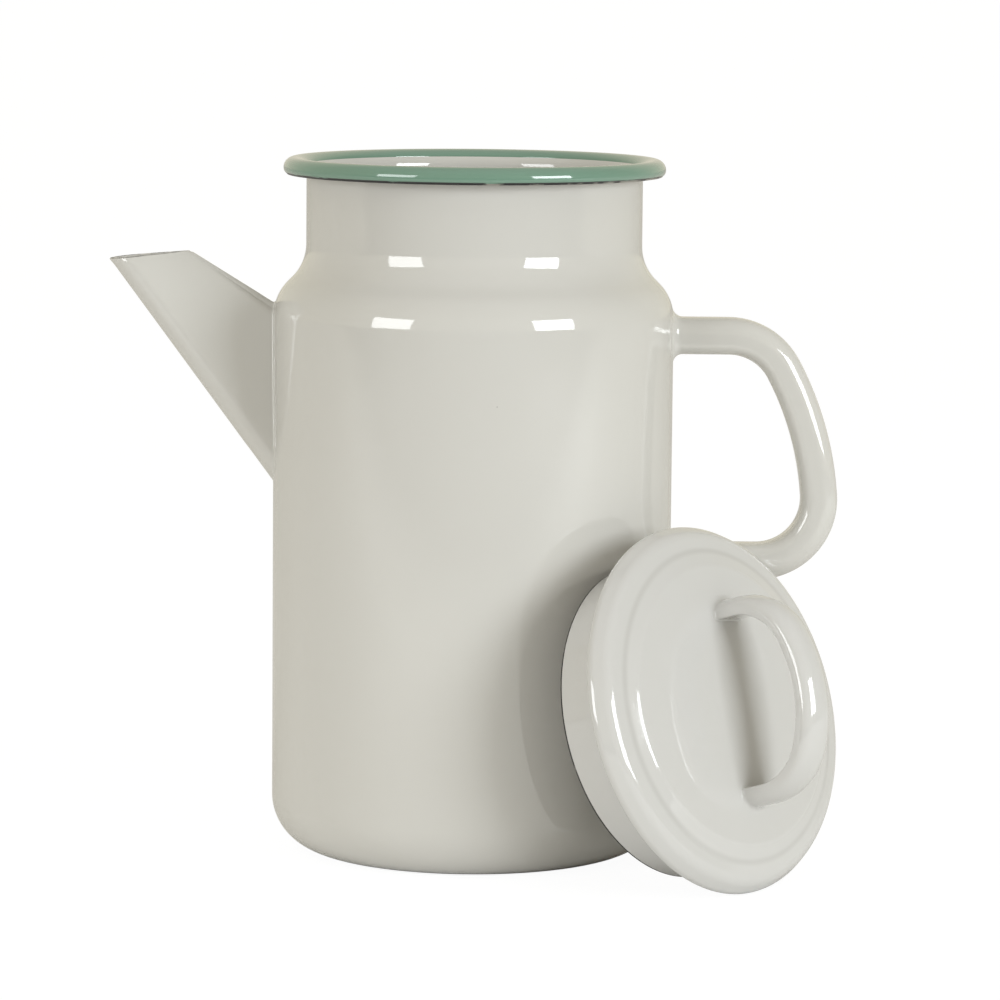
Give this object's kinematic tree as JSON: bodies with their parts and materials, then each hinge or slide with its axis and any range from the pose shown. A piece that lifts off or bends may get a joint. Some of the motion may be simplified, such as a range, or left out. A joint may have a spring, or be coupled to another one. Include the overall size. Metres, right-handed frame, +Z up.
{
  "type": "enamel coffee pot",
  "caption": "Tall round enamelled steel coffee pot with a tapered beak spout, D-shaped side handle, rolled green rim and a lift-off lid with a bow handle standing beside it.",
  "frame": {"origin": "centre of the pot's flat base, on the table", "axes": "+Z up along the pot's axis, -X toward the spout, +X toward the pot's handle"},
  "size_m": [0.2283, 0.1685, 0.2175],
  "materials": {
    "enamel_cream": "gloss enamel",
    "enamel_green": "gloss enamel"
  },
  "bodies": {
    "pot": {"body_shell": "enamel_cream", "rim_enamel": "enamel_green", "spout": "enamel_cream", "handle_channel": "enamel_cream", "handle_strip": "enamel_cream"},
    "lid": {"lid_shell": "enamel_cream", "lid_bow": "enamel_cream"}
  },
  "joints": [
    {"name": "lid_lift", "type": "slide", "parent": "pot", "child": "lid", "axis": [0.1994, -0.165, 0.9659], "range_m": [0, 0.25]}
  ]
}
